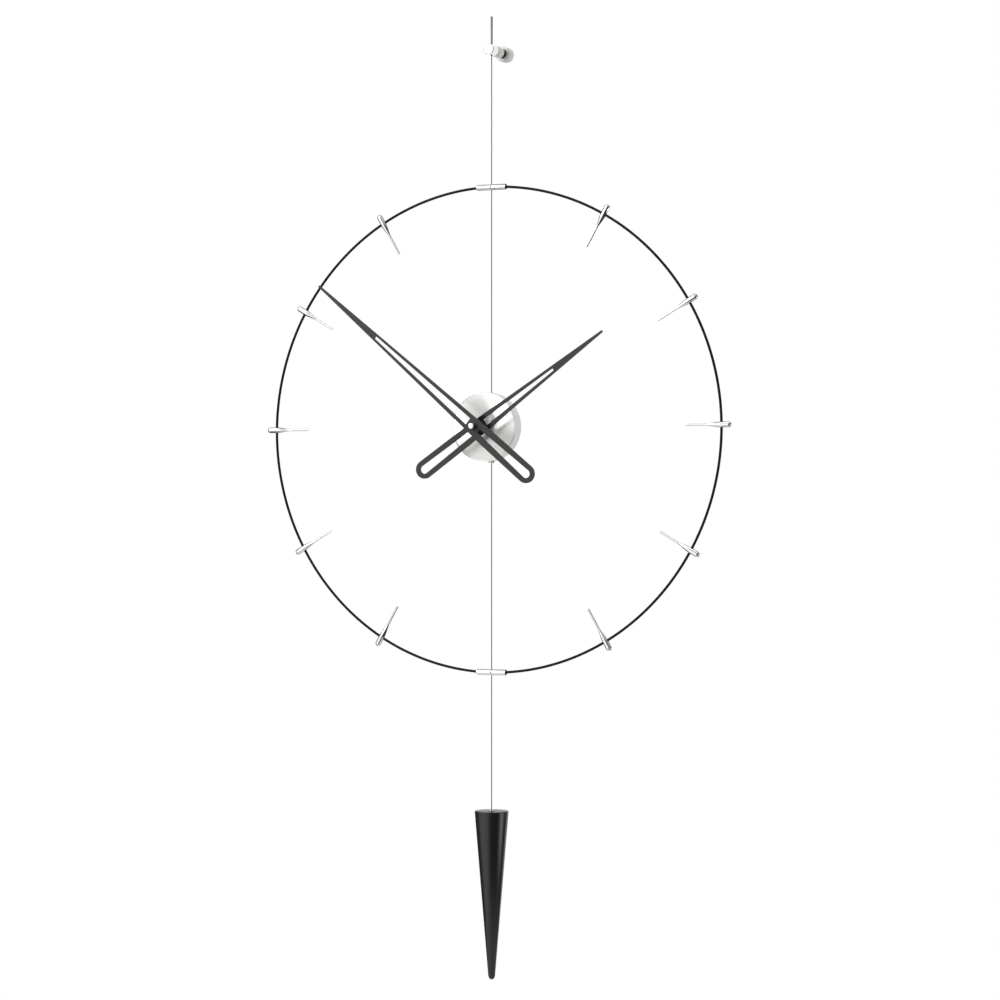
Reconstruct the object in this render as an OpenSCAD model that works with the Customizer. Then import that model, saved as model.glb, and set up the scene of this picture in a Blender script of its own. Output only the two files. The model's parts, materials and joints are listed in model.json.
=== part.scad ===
// Pendulum wall clock. A ring dial, a round movement case and a plumb weight hang on one
// steel cable from a metal standoff on the wall.
// Frame: the origin is the centre of the standoff's back face, on the wall plane. +Z is up
// and -Y points into the room.

/* [Standoff] */
// Distance from the wall to the cable
cable_off = 60; // [50:1:80]
// Diameter of the part that sits on the wall
base_d = 23; // [19:0.5:26]
// Length of the part that sits on the wall
base_l = 21; // [18:1:28]
// Diameter of the body and of the head that holds the cable
head_d = 16.5; // [14:0.5:18]

/* [Cable] */
// Diameter of the steel cable
cable_d = 1.5; // [1:0.1:2]
// Diameter of the crimped pin at the cable's top end
pin_d = 3.2; // [2.4:0.1:3.4]
// Height of the pin's top above the standoff's axis
pin_rise = 51; // [30:1:70]
// From the standoff's axis down to the top of the ring
hang = 209; // [120:1:300]

/* [Ring dial] */
// Diameter of the ring, measured to the middle of its rod
ring_d = 740; // [720:5:800]
// Diameter of the ring's rod
rod_d = 4; // [3:0.5:4.5]
// Diameter of the straight sleeves at 12 and 6
sleeve_d = 9; // [8:0.5:11]
// Length of those sleeves
sleeve_l = 48; // [40:1:60]
// Diameter of an hour marker's drop
drop_d = 9; // [8:0.5:10]
// Diameter of an hour marker's needle
needle_d = 3.4; // [3:0.2:4]
// From the rod inwards to the needle's tip
needle_in = 55.5; // [45:0.5:70]
// From the rod outwards to the drop's end
drop_out = 15.6; // [13:0.2:18]

/* [Case] */
// Height of the case's axis above the ring's centre
case_rise = 3.5; // [0:0.5:6]
// Diameter of the case
case_d = 104.5; // [103:0.5:112]
// Distance from the cable forward to the face
face_z = 29; // [28:0.5:32]
// Diameter of the rear cup, which the cable runs through
cup_d = 84; // [83:0.5:86]

/* [Hands] */
// Length of the minute hand, from the axis to the tip
minute_l = 340; // [320:1:345]
// Length of the hour hand, from the axis to the tip
hour_l = 243; // [220:1:260]
// From the axis to the centre of a hand's round tail
tail_l = 112; // [90:1:120]
// Radius of that tail
tail_r = 14; // [13.5:0.5:15]
// Thickness of the hands
hand_t = 3; // [2:0.5:3.5]
// Angle of the minute hand, clockwise from 12
minute_angle = 310; // [0:1:359]
// Angle of the hour hand, clockwise from 12
hour_angle = 55; // [0:1:359]

/* [Weight] */
// From the ring's centre down to the top of the weight
weight_drop = 581; // [480:1:700]
// Length of the weight
weight_l = 257; // [200:1:300]
// Diameter of the weight's top
weight_d = 52; // [46:1:60]
// Diameter of the weight's rounded tip
tip_d = 9.6; // [8:0.2:12]

/* [Hidden] */
$fn = 96;

// Colours
nickel = [0.86, 0.86, 0.85];
steel = [0.72, 0.72, 0.71];
black = [0.05, 0.05, 0.05];
graphite = [0.24, 0.24, 0.23];
plastic_black = [0.10, 0.10, 0.10];
plastic_white = [0.90, 0.90, 0.88];
brass = [0.80, 0.66, 0.35];

// Heights, and the depth of the cable
ring_z = -hang - ring_d / 2;
axis_z = ring_z + case_rise;
weight_z = ring_z - weight_drop;
ring_r = ring_d / 2;

// Play round a piece that is glued, screwed or clamped in a hole
seat = 0.05;
// Play of a pivot that turns in its bearing
run = 0.03;

// ---------------------------------------------------------------------------------------
// Ways to place a piece
// ---------------------------------------------------------------------------------------

// A piece whose +Z points into the room, from a point at height z and distance y off the wall
module off_wall(y = 0, z = 0)
    translate([0, -y, z])
        rotate([90, 0, 0])
            children();

// The clock's own axis. Here x is to the right, y is up, and z is the distance in front of
// the cable.
module on_axis()
    off_wall(cable_off, axis_z)
        children();

// The same, with z counted backwards from the front of the face plate, for what lies between
// two depths behind the face
module at_depth(from, x = 0, y = 0)
    on_axis()
        translate([x, y, face_z - from])
            children();

// The ring's plane, centred on the ring, with x to the right and y up
module in_ring()
    off_wall(cable_off, ring_z)
        children();

// A plain disc or pin with a small bevel at both ends
module bevelled(d, l, bevel = 0.3)
    rotate_extrude()
        polygon([
            [0, 0], [d / 2 - bevel, 0], [d / 2, bevel],
            [d / 2, l - bevel], [d / 2 - bevel, l], [0, l]
        ]);

// ---------------------------------------------------------------------------------------
// The standoff on the wall, which holds the cable's top end
// ---------------------------------------------------------------------------------------

wall_hole_r = 2.5;      // a tapped M5 hole for the hanger bolt in the wall
wall_hole_l = 12;
stud_d = 8;
stud_in_base = 6;
stud_in_body = 10;
neck_l = 9.5;           // the black collar that shows between base and body
neck_d = 15;
head_back = 8;          // the head reaches this far behind the cable
head_front = 12;        // and this far in front of it
body_l = cable_off - head_back - base_l - neck_l;
head_screw_d = 5;       // an M5 grub screw, which presses on the pin from the left
head_screw_l = 8;

module wall_base()
    color(nickel)
        difference() {
            off_wall(0) bevelled(base_d, base_l, 0.5);
            off_wall(-1) cylinder(r = wall_hole_r, h = wall_hole_l + 1);
            off_wall(base_l - stud_in_base) cylinder(d = stud_d + 2 * seat, h = stud_in_base + 1);
        }

module standoff_stud()
    color(black)
        union() {
            off_wall(base_l - stud_in_base + 0.1)
                bevelled(stud_d, stud_in_base + neck_l + stud_in_body - 0.2, 0.5);
            off_wall(base_l + 0.05) bevelled(neck_d, neck_l - 0.1, 0.3);
        }

module standoff_body()
    color(nickel)
        difference() {
            off_wall(base_l + neck_l) bevelled(head_d, body_l, 0.6);
            off_wall(base_l + neck_l - 1)
                cylinder(d = stud_d + 2 * seat, h = stud_in_body + 1);
        }

// From the pin's middle out to the left, where the grub screw goes in
module head_screw_axis()
    translate([0, -cable_off, 0])
        rotate([0, -90, 0])
            children();

module standoff_head()
    color(nickel)
        difference() {
            off_wall(cable_off - head_back) bevelled(head_d, head_back + head_front, 0.8);
            translate([0, -cable_off, -head_d]) cylinder(d = pin_d + 2 * seat, h = 2 * head_d);
            head_screw_axis() cylinder(d = head_screw_d + 2 * seat, h = head_d);
        }

module head_grub_screw()
    color(steel)
        difference() {
            head_screw_axis() translate([0, 0, pin_d / 2 + 0.1]) bevelled(head_screw_d, head_screw_l, 0.4);
            head_screw_axis() translate([0, 0, pin_d / 2 + head_screw_l - 3])
                cylinder(d = 2.9, h = 4, $fn = 6);
        }

// ---------------------------------------------------------------------------------------
// The cable, in the three stretches that move apart: from the standoff to the ring, across
// the dial, and down to the weight
// ---------------------------------------------------------------------------------------

pin_low = -9;                         // the pin's lower end, just under the head
cable_gap = 0.05;
swing_z = pin_low - cable_gap - cable_d / 2;            // where the cable bends at the top
turn_z = -hang + sleeve_d / 2;                          // where the ring turns on the cable
weight_swing_z = ring_z - ring_r - sleeve_d / 2 - 1;    // where the cable bends under the ring

module cable_pin()
    color(steel)
        translate([0, -cable_off, pin_low]) bevelled(pin_d, pin_rise - pin_low, 0.4);

module cable_run(top, bottom)
    translate([0, -cable_off, bottom]) cylinder(d = cable_d, h = top - bottom, $fn = 24);

module cable_upper()
    color(steel)
        union() {
            translate([0, -cable_off, swing_z]) sphere(d = cable_d, $fn = 24);
            cable_run(swing_z, turn_z + 0.3);
        }

module cable_middle()
    color(steel) cable_run(turn_z, weight_swing_z + cable_d / 2 + cable_gap);

module cable_lower()
    color(steel)
        union() {
            translate([0, -cable_off, weight_swing_z]) sphere(d = cable_d, $fn = 24);
            cable_run(weight_swing_z, weight_z - 14);
        }

// ---------------------------------------------------------------------------------------
// The ring dial: two half rings of rod, the sleeves that join them on the cable, and the
// ten drop-shaped hour markers, which are threaded on the rod
// ---------------------------------------------------------------------------------------

rod_gap = 5;                          // each rod stops this far from the cable
rod_turn = asin(rod_gap / ring_r);
sleeve_sag = ring_r - sqrt(pow(ring_r, 2) - pow(sleeve_l / 2, 2));
sleeve_r = ring_r - sleeve_sag / 2;   // radius at which a sleeve's straight axis lies
small_screw_d = 3;                    // M3 grub screws, which clamp the cable
small_screw_l = 3.4;

// The rod's solid, or the bent bore that it lies in, over one half of the ring
module half_ring(d, side)
    in_ring()
        rotate([0, 0, (side > 0 ? -90 : 90) + rod_turn])
            rotate_extrude(angle = 180 - 2 * rod_turn, $fn = 256)
                translate([ring_r, 0]) circle(d = d, $fn = 32);

module ring_rod_left() color(black) half_ring(rod_d, -1);

module ring_rod_right() color(black) half_ring(rod_d, 1);

module sleeve(up)
    difference() {
        in_ring()
            translate([-sleeve_l / 2, up * sleeve_r, 0])
                rotate([0, 90, 0]) bevelled(sleeve_d, sleeve_l, 0.5);
        half_ring(rod_d + 2 * seat, 1);
        half_ring(rod_d + 2 * seat, -1);
        translate([0, -cable_off, ring_z + up * sleeve_r - sleeve_d])
            cylinder(d = cable_d + 0.4, h = 2 * sleeve_d);
        in_ring()
            translate([0, up * sleeve_r, 0])
                cylinder(d = small_screw_d + 2 * seat, h = sleeve_d);
    }

module top_sleeve() color(nickel) sleeve(1);

module bottom_sleeve() color(nickel) sleeve(-1);

// One grub screw, from the cable out to the front of whatever it sits in
module small_screw()
    difference() {
        translate([0, 0, cable_d / 2 + 0.25]) bevelled(small_screw_d, small_screw_l, 0.3);
        translate([0, 0, cable_d / 2 + small_screw_l - 1.2]) cylinder(d = 1.7, h = 3, $fn = 6);
    }

module cable_screws()
    color(steel) {
        for (up = [1, -1]) {
            in_ring() translate([0, up * sleeve_r, 0]) small_screw();
            on_axis() translate([0, up * collar_screw_r, 0]) rotate([0, 180, 0]) small_screw();
        }
    }

// Radius of a marker at a distance s outwards from the rod
flare = 25;                           // length over which the needle widens into the drop
cheek = drop_out - drop_d / 2;        // where the drop's round end begins
function marker_flare(s) =
    needle_d / 2 + (drop_d - needle_d) / 2 * (1 - cos(180 * (s + flare) / flare)) / 2;

module marker_outline()
    polygon(concat(
        [[0, -needle_in], [needle_d / 2 - 0.35, -needle_in], [needle_d / 2, -needle_in + 0.35]],
        [for (s = [-flare:2.5:0]) [marker_flare(s), s]],
        [for (a = [0:10:80]) [drop_d / 2 * cos(a), cheek + drop_d / 2 * sin(a)]],
        [[0, drop_out]]
    ));

// The distance from the case's axis out to the rod, in a direction turned from 12
function axis_to_rod(turn) =
    sqrt(pow(ring_r, 2) - pow(case_rise * sin(turn), 2)) - case_rise * cos(turn);

// A marker points at the case's axis, where the hands turn. Its bore follows the rod, which
// crosses it at a slight slant because that axis is above the ring's centre.
module hour_marker(hour)
    color(nickel)
        in_ring()
            translate([0, case_rise, 0])
                rotate([0, 0, -30 * hour])
                    translate([0, axis_to_rod(30 * hour), 0])
                        difference() {
                            rotate([-90, 0, 0]) rotate_extrude($fn = 48) marker_outline();
                            rotate([0, 0, asin(case_rise * sin(30 * hour) / ring_r)])
                                rotate([0, 90, 0])
                                    cylinder(d = rod_d + 4 * seat, h = 2 * drop_d, center = true);
                        }

// ---------------------------------------------------------------------------------------
// The case: a spun steel face in a front band, and a rear shell whose cup holds the cable
// ---------------------------------------------------------------------------------------

wall = 1.5;
plate_t = 1.5;
plate_r = case_d / 2 - 1.5;
band_depth = 9;                       // depth of the front band, behind the face
case_depth = 22.4;                    // depth of the full-width case, behind the face
cup_depth = face_z + 10;              // depth of the cup's open back, behind the face
cup_r = cup_d / 2;
lid_t = 1.6;
bush_d = 8;                           // the movement's threaded M8 neck

module face_plate()
    color(steel)
        difference() {
            at_depth(plate_t) bevelled(2 * plate_r, plate_t, 0.3);
            at_depth(plate_t + 1) cylinder(d = bush_d + 0.4, h = plate_t + 2);
        }

// Profiles of the shells: x is the radius, and y is the distance in front of the back of the
// band or of the cup
module front_shell()
    color(steel)
        at_depth(band_depth)
            rotate_extrude()
                polygon([
                    [case_d / 2 - wall - 1.3, -3], [case_d / 2 - wall - 0.1, -3],
                    [case_d / 2 - wall - 0.1, 0], [case_d / 2, 0],
                    [case_d / 2, band_depth - 0.4], [case_d / 2 - 0.4, band_depth],
                    [plate_r + 0.3, band_depth], [plate_r + 0.3, band_depth - plate_t - 0.05],
                    [plate_r - 3, band_depth - plate_t - 0.05],
                    [plate_r - 3, band_depth - plate_t - 1.5],
                    [case_d / 2 - wall - 1.3, band_depth - plate_t - 1.5]
                ]);

module rear_shell()
    color(steel)
        difference() {
            at_depth(cup_depth)
                rotate_extrude()
                    polygon([
                        [cup_r - wall, 0], [cup_r, 0],
                        [cup_r, cup_depth - case_depth],
                        [case_d / 2 - 1.2, cup_depth - case_depth],
                        [case_d / 2, cup_depth - case_depth + 1.2],
                        [case_d / 2, cup_depth - band_depth - 0.15],
                        [case_d / 2 - wall, cup_depth - band_depth - 0.15],
                        [case_d / 2 - wall, cup_depth - case_depth + wall],
                        [cup_r - wall, cup_depth - case_depth + wall]
                    ]);
            for (up = [1, -1])
                translate([0, -cable_off, axis_z + up * cup_r])
                    cylinder(d = collar_neck_d + 2 * seat, h = 4 * wall, center = true);
        }

module rear_lid()
    color(plastic_black)
        difference() {
            at_depth(cup_depth) bevelled(2 * (cup_r - wall - 0.3), 2 * lid_t, 0.3);
            at_depth(cup_depth - lid_t - 0.2) cylinder(r = cup_r - wall - 2, h = 4);
            at_depth(cup_depth + 1, 0, 6 - cup_r) cylinder(d = 12, h = 1.9);
        }

// The collars that hold the case on the cable, above and below the rear cup
collar_d = 9;
collar_neck_d = 6;
collar_screw_r = cup_r + 6;
collar_top_r = case_d / 2 + 0.3;
collar_bottom_r = case_d / 2 + 1.8;

module cable_collar(up, reach)
    color(nickel)
        difference() {
            translate([0, -cable_off, axis_z])
                rotate([up > 0 ? 0 : 180, 0, 0])
                    union() {
                        translate([0, 0, cup_r + 0.3]) bevelled(collar_d, reach - cup_r - 0.3, 0.5);
                        translate([0, 0, cup_r - wall - 1]) cylinder(d = collar_neck_d, h = 3);
                    }
            translate([0, -cable_off, axis_z - case_d])
                cylinder(d = cable_d + 0.3, h = 2 * case_d);
            on_axis()
                translate([0, up * collar_screw_r, 0])
                    rotate([0, 180, 0]) cylinder(d = small_screw_d + 2 * seat, h = collar_d);
        }

module cable_collar_top() cable_collar(1, collar_top_r);

module cable_collar_bottom() cable_collar(-1, collar_bottom_r);

// ---------------------------------------------------------------------------------------
// The quartz movement. Depths are counted backwards from the front of the face plate.
// ---------------------------------------------------------------------------------------

box_w = 56;
box_front = 2.5;
box_back = 18;
box_wall = 1.6;
floor_back = 4;                       // depth of the inside of the front wall
cover_front = 16.4;
bay_top = -12.1;                      // the battery bay lies under this height
tube_d = 5.2;                         // the hour wheel's tube
arbor_d = 3.4;                        // the minute arbor
pivot_d = 1;

// Where the wheels turn: the centre of each arbor, right of and above the clock's axis
minute_wheel_at = [11.95, -1.05];
third_at = [-6.20, 8.84];
seconds_at = [3.38, 12.34];
intermediate_at = [10.58, 12.34];
rotor_at = [16.64, 8.84];

// A block with square corners between two depths, from one corner to the other
module block(from, to, low, high)
    at_depth(to)
        translate([low[0], low[1], 0])
            cube([high[0] - low[0], high[1] - low[1], to - from]);

// A pin or hole about an arbor, between two depths
module pin_between(from, to, d, at = [0, 0])
    at_depth(to, at[0], at[1]) cylinder(d = d, h = to - from, $fn = 32);

module movement_case()
    color(plastic_black)
        difference() {
            union() {
                block(box_front, box_back, [-box_w / 2, -box_w / 2], [box_w / 2, box_w / 2]);
                pin_between(-6.5, box_front, bush_d);
            }
            block(floor_back, box_back + 1, [-box_w / 2 + box_wall, bay_top + 1],
                [box_w / 2 - box_wall, box_w / 2 - box_wall]);
            block(floor_back, box_back + 1, [-box_w / 2 + box_wall, -box_w / 2 + box_wall],
                [box_w / 2 - box_wall, bay_top]);
            pin_between(-7, floor_back + 1, tube_d + 4 * run);
            for (at = [minute_wheel_at, third_at, seconds_at, intermediate_at, rotor_at])
                pin_between(floor_back - 0.8, floor_back + 1, pivot_d + 2 * run, at);
        }

module movement_cover()
    color(plastic_black)
        difference() {
            block(cover_front, box_back, [-box_w / 2 + box_wall + 0.1, bay_top + 1.1],
                [box_w / 2 - box_wall - 0.1, box_w / 2 - box_wall - 0.1]);
            for (at = [third_at, seconds_at, intermediate_at, rotor_at, [0, 0]])
                pin_between(cover_front - 1, cover_front + 1, pivot_d + 2 * run, at);
            pin_between(cover_front - 1, box_back + 1, 2 + 2 * run, minute_wheel_at);
        }

module movement_gasket()
    color(black)
        difference() {
            block(plate_t, box_front, [-16, -16], [16, 16]);
            pin_between(0, box_front + 1, bush_d + 0.6);
        }

module fixing_washer()
    color(brass)
        difference() {
            pin_between(-0.6, 0, 13);
            pin_between(-1, 1, bush_d + 0.4);
        }

module fixing_nut()
    color(brass)
        difference() {
            at_depth(-0.6) cylinder(d = 12.7, h = 2, $fn = 6);
            pin_between(-3, 0, bush_d + 2 * seat);
        }

// The battery lies across the lower bay, with its plus end to the right
battery_y = -box_w / 2 + box_wall + 7.15;
battery_depth = floor_back + 7.15;

module battery()
    color(graphite)
        on_axis()
            translate([-24.7, battery_y, face_z - battery_depth])
                rotate([0, 90, 0])
                    union() {
                        bevelled(14.1, 49, 0.6);
                        cylinder(d = 5.4, h = 50.2);
                    }

module battery_contact_plus()
    color(steel)
        block(5, 16, [25.7, battery_y - 5], [26.2, battery_y + 5]);

module battery_contact_minus()
    color(steel)
        union() {
            block(5, 16, [-26.3, battery_y - 5], [-25.8, battery_y + 5]);
            block(8, 14, [-25.9, battery_y - 3], [-24.8, battery_y + 3]);
        }

module circuit_board()
    color([0.10, 0.32, 0.18])
        union() {
            block(12, 13, [-26.2, -9], [-17, 24]);
            block(13, 14.2, [-24, 2], [-19, 7]);
        }

module quartz_crystal()
    color(steel)
        on_axis()
            translate([-21.6, 11, face_z - 14.2]) rotate([-90, 0, 0]) bevelled(2, 6, 0.3);

// The stepping motor: a coil on an iron core, and a stator with the rotor in its eye
coil_x = 23.4;
coil_depth = 11.6;

module coil_bobbin()
    color(plastic_white)
        on_axis()
            translate([coil_x, 0, face_z - coil_depth])
                rotate([-90, 0, 0])
                    difference() {
                        union() {
                            cylinder(d = 3.4, h = 17);
                            for (y = [0, 16]) translate([0, 0, y]) cylinder(d = 5.8, h = 1);
                        }
                        translate([-0.95, -0.5, -1]) cube([1.9, 1, 19]);
                    }

module coil_winding()
    color([0.72, 0.38, 0.20])
        on_axis()
            translate([coil_x, 1.1, face_z - coil_depth])
                rotate([-90, 0, 0])
                    difference() {
                        cylinder(d = 5.2, h = 14.8);
                        translate([0, 0, -1]) cylinder(d = 3.5, h = 17);
                    }

module stator()
    color(steel)
        difference() {
            union() {
                block(11.2, 12, [14.9, -3], [18.4, 20]);
                pin_between(11.2, 12, 7.2, rotor_at);
                for (y = [-3, 18]) block(11.2, 12, [14.9, y], [coil_x + 0.9, y + 2]);
                block(11.2, 12, [coil_x - 0.9, -3], [coil_x + 0.9, 20]);
            }
            pin_between(10, 13, 5.4, rotor_at);
        }

// ---------------------------------------------------------------------------------------
// The wheels. Each pair in mesh has its driver's tooth on the line between the two arbors
// and a gap of its partner there.
// ---------------------------------------------------------------------------------------

pressure = 25;                        // pressure angle of the teeth, in degrees
thinning = 0.11;                      // each tooth is thinner than half the pitch by this
                                      // many modules
function involute_angle(base, r) =
    let (a = acos(min(1, base / r))) tan(a) * 180 / PI - a;

// Half the angle that a tooth of n teeth covers at radius r
function half_tooth(m, n, r) =
    let (pitch = m * n / 2, base = pitch * cos(pressure))
    (PI / 2 - thinning) / n * 180 / PI + involute_angle(base, pitch)
        - involute_angle(base, max(r, base));

// A toothed wheel of module m and n teeth, with a tooth on the +X axis
module teeth(m, n, tip = 0.8)
    polygon([
        for (k = [0:n - 1])
            for (p = [
                [m * (n / 2 - 1.15), -1], [m * (n / 2 - 0.55), -1], [m * n / 2, -1],
                [m * (n / 2 + tip), -1], [m * (n / 2 + tip), 1], [m * n / 2, 1],
                [m * (n / 2 - 0.55), 1], [m * (n / 2 - 1.15), 1]
            ])
                let (a = 360 * k / n + p[1] * half_tooth(m, n, p[0]))
                p[0] * [cos(a), sin(a)]
    ]);

// The direction from one arbor to another
function toward(a, b) = atan2(b[1] - a[1], b[0] - a[0]);

// A wheel between two depths at an arbor, turned so that a tooth, or a gap where gap is
// true, faces another arbor
module wheel(m, n, from, to, at, facing, gap = false, tip = 0.8)
    at_depth(to, at[0], at[1])
        rotate([0, 0, toward(at, facing) + (gap ? 180 / n : 0)])
            linear_extrude(to - from) teeth(m, n, tip);

// An arbor with a thin pivot at each end, in the front wall and in the cover
module arbor(at, d = 1.3)
    union() {
        pin_between(floor_back - 0.7, cover_front + 0.9, pivot_d, at);
        pin_between(floor_back + 0.1, cover_front - 0.1, d, at);
    }

centre_at = [0, 0];

module rotor()
    color(steel)
        union() {
            arbor(rotor_at);
            pin_between(9.6, 12.6, 4.6, rotor_at);
            wheel(0.25, 8, 13.2, 14.8, rotor_at, intermediate_at);
        }

module intermediate_wheel()
    color(plastic_white)
        union() {
            arbor(intermediate_at);
            wheel(0.25, 48, 13.5, 14.5, intermediate_at, rotor_at, gap = true, tip = 0.6);
            wheel(0.3, 8, 11.5, 13.6, intermediate_at, seconds_at);
        }

module seconds_wheel()
    color(plastic_white)
        union() {
            arbor(seconds_at);
            wheel(0.3, 40, 11.8, 12.8, seconds_at, intermediate_at, gap = true, tip = 0.6);
            wheel(0.3, 8, 9.7, 11.9, seconds_at, third_at);
        }

module third_wheel()
    color(plastic_white)
        union() {
            arbor(third_at);
            wheel(0.3, 60, 10, 11, third_at, seconds_at, gap = true, tip = 0.6);
            wheel(0.3, 8, 7.9, 10.1, third_at, centre_at);
        }

// The centre wheel turns the minute arbor through a friction fit, so that the hands can be
// set while it stands still
module centre_wheel()
    color(plastic_white)
        difference() {
            union() {
                wheel(0.3, 64, 8.2, 9.2, centre_at, third_at, gap = true, tip = 0.6);
                pin_between(8.2, 9.7, 6);
            }
            pin_between(8, 10, arbor_d + 2 * run);
        }

module minute_wheel()
    color(plastic_white)
        union() {
            pin_between(floor_back - 0.7, floor_back + 1, pivot_d, minute_wheel_at);
            pin_between(floor_back + 0.1, 21.4, 2, minute_wheel_at);
            wheel(0.5, 36, 6.4, 7.5, minute_wheel_at, centre_at, gap = true);
            wheel(0.4, 12, 4.3, 6.5, minute_wheel_at, centre_at);
        }

module setting_knob()
    color(plastic_black)
        difference() {
            at_depth(21.8, minute_wheel_at[0], minute_wheel_at[1])
                linear_extrude(3.4)
                    polygon([
                        for (a = [0:7.5:359]) (a % 15 == 0 ? 7 : 6.5) * [cos(a), sin(a)]
                    ]);
            pin_between(18, 21.45, 2.1, minute_wheel_at);
        }

minute_z = -39;                       // depth of the minute hand's middle, behind the face
hour_hand_z = -16;                    // and of the hour hand's middle
cap_front = -49;

module minute_arbor()
    color(brass)
        union() {
            pin_between(cap_front + 3, 9.7, arbor_d);
            pin_between(9.6, cover_front - 0.1, 1.6);
            pin_between(cover_front - 0.2, cover_front + 0.9, pivot_d);
            wheel(0.5, 12, 6.2, 7.7, centre_at, minute_wheel_at);
        }

module hour_wheel()
    color(plastic_white)
        difference() {
            union() {
                wheel(0.4, 48, 4.5, 5.6, centre_at, minute_wheel_at, gap = true);
                pin_between(hour_hand_z - 2, 5.6, tube_d);
            }
            pin_between(hour_hand_z - 3, 6, arbor_d + 4 * run);
        }

// ---------------------------------------------------------------------------------------
// The hands: flat bars with a round tail, slotted on both sides of the hub
// ---------------------------------------------------------------------------------------

hub_half = 11;                        // half the length of the solid bridge at the hub
slot_tail_r = 6.6;
tail_turn = [90:10:270];

// One hand, pointing along +Y. shoulder is a list of [distance, half width] along the front
// edge, and slot holds the half widths of the front slot at the hub and at its far end, and
// of the rear slot at the hub.
module hand_outline(l, shoulder, slot_l, slot)
    difference() {
        polygon(concat(
            [for (a = tail_turn) [-tail_r * cos(a + 90), -tail_l - tail_r * sin(a - 90)]],
            [for (p = shoulder) [-p[1], p[0]]],
            [[-1.4, l], [1.4, l]],
            [for (k = [len(shoulder) - 1:-1:0]) [shoulder[k][1], shoulder[k][0]]]
        ));
        polygon([
            [-slot[0], hub_half], [-slot[1], slot_l - 0.8], [-slot[1] + 0.8, slot_l],
            [slot[1] - 0.8, slot_l], [slot[1], slot_l - 0.8], [slot[0], hub_half]
        ]);
        polygon(concat(
            [[slot[2], -hub_half], [-slot[2], -hub_half]],
            [for (a = tail_turn)
                [slot_tail_r * cos(a + 90), -tail_l - slot_tail_r * sin(a - 90)]]
        ));
    }

module minute_hand()
    color(graphite)
        difference() {
            at_depth(minute_z + hand_t / 2)
                rotate([0, 0, -minute_angle])
                    linear_extrude(hand_t)
                        hand_outline(minute_l, [[-30, 13.6], [10, 12]], 214, [6.1, 2.3, 3.3]);
            pin_between(minute_z - 3, minute_z + 3, arbor_d + 2 * seat);
        }

module hour_hand()
    color(graphite)
        difference() {
            at_depth(hour_hand_z + hand_t / 2)
                rotate([0, 0, -hour_angle])
                    linear_extrude(hand_t)
                        hand_outline(hour_l, [[-30, 13.2], [15, 12], [60, 9.4]], 147,
                            [5.6, 2.05, 4.3]);
            pin_between(hour_hand_z - 3, hour_hand_z + 3, tube_d + 2 * seat);
        }

module hour_hub()
    color(black)
        difference() {
            pin_between(hour_hand_z + hand_t / 2, -7.5, 11);
            pin_between(hour_hand_z, 0, tube_d + 2 * seat);
        }

module minute_hub()
    color(black)
        difference() {
            pin_between(minute_z + hand_t / 2, hour_hand_z - 2.6, 9);
            pin_between(minute_z, hour_hand_z, arbor_d + 2 * seat);
        }

module cap_nut()
    color(nickel)
        difference() {
            at_depth(minute_z - hand_t / 2 - 0.05)
                rotate_extrude()
                    polygon([
                        [0, 0], [4.6, 0], [5, 0.4], [5, 7], [4.7, 7.8], [3.8, 8.3], [2, 8.6],
                        [0, 8.7]
                    ]);
            pin_between(cap_front + 2.8, minute_z, arbor_d + 2 * seat);
        }

// ---------------------------------------------------------------------------------------
// The plumb weight, a turned cone with the cable's end crimped in a collar
// ---------------------------------------------------------------------------------------

collar_hole_d = 7;
collar_hole_l = 18;

module weight()
    color(graphite)
        translate([0, -cable_off, weight_z])
            difference() {
                rotate_extrude()
                    polygon(concat(
                        [[0, 0], [weight_d / 2 - 0.9, 0], [weight_d / 2, -0.9]],
                        [for (a = [0:10:80])
                            [tip_d / 2 * cos(a), -weight_l + tip_d / 2 * (1 - sin(a))]],
                        [[0, -weight_l]]
                    ));
                translate([0, 0, -collar_hole_l]) cylinder(d = collar_hole_d, h = 20);
            }

module weight_collar()
    color(nickel)
        translate([0, -cable_off, weight_z])
            difference() {
                union() {
                    translate([0, 0, -15]) cylinder(d = collar_hole_d - 2 * seat, h = 15.5);
                    translate([0, 0, 0.05]) bevelled(collar_hole_d + 2, 1.2, 0.3);
                }
                translate([0, 0, -14.2]) cylinder(d = cable_d + 0.2, h = 20);
            }

wall_base();
standoff_stud();
standoff_body();
standoff_head();
head_grub_screw();
cable_pin();
cable_upper();
cable_middle();
cable_lower();
ring_rod_left();
ring_rod_right();
top_sleeve();
bottom_sleeve();
cable_screws();
for (hour = [1, 2, 3, 4, 5, 7, 8, 9, 10, 11])
    hour_marker(hour);
face_plate();
front_shell();
rear_shell();
rear_lid();
cable_collar_top();
cable_collar_bottom();
movement_case();
movement_cover();
movement_gasket();
fixing_washer();
fixing_nut();
battery();
battery_contact_plus();
battery_contact_minus();
circuit_board();
quartz_crystal();
coil_bobbin();
coil_winding();
stator();
rotor();
intermediate_wheel();
seconds_wheel();
third_wheel();
centre_wheel();
minute_wheel();
setting_knob();
minute_arbor();
hour_wheel();
hour_hand();
hour_hub();
minute_hand();
minute_hub();
cap_nut();
weight();
weight_collar();
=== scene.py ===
import json
from math import ceil, cos, pi, radians, sin

import bmesh
import bpy
from mathutils import Matrix, Vector


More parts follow.
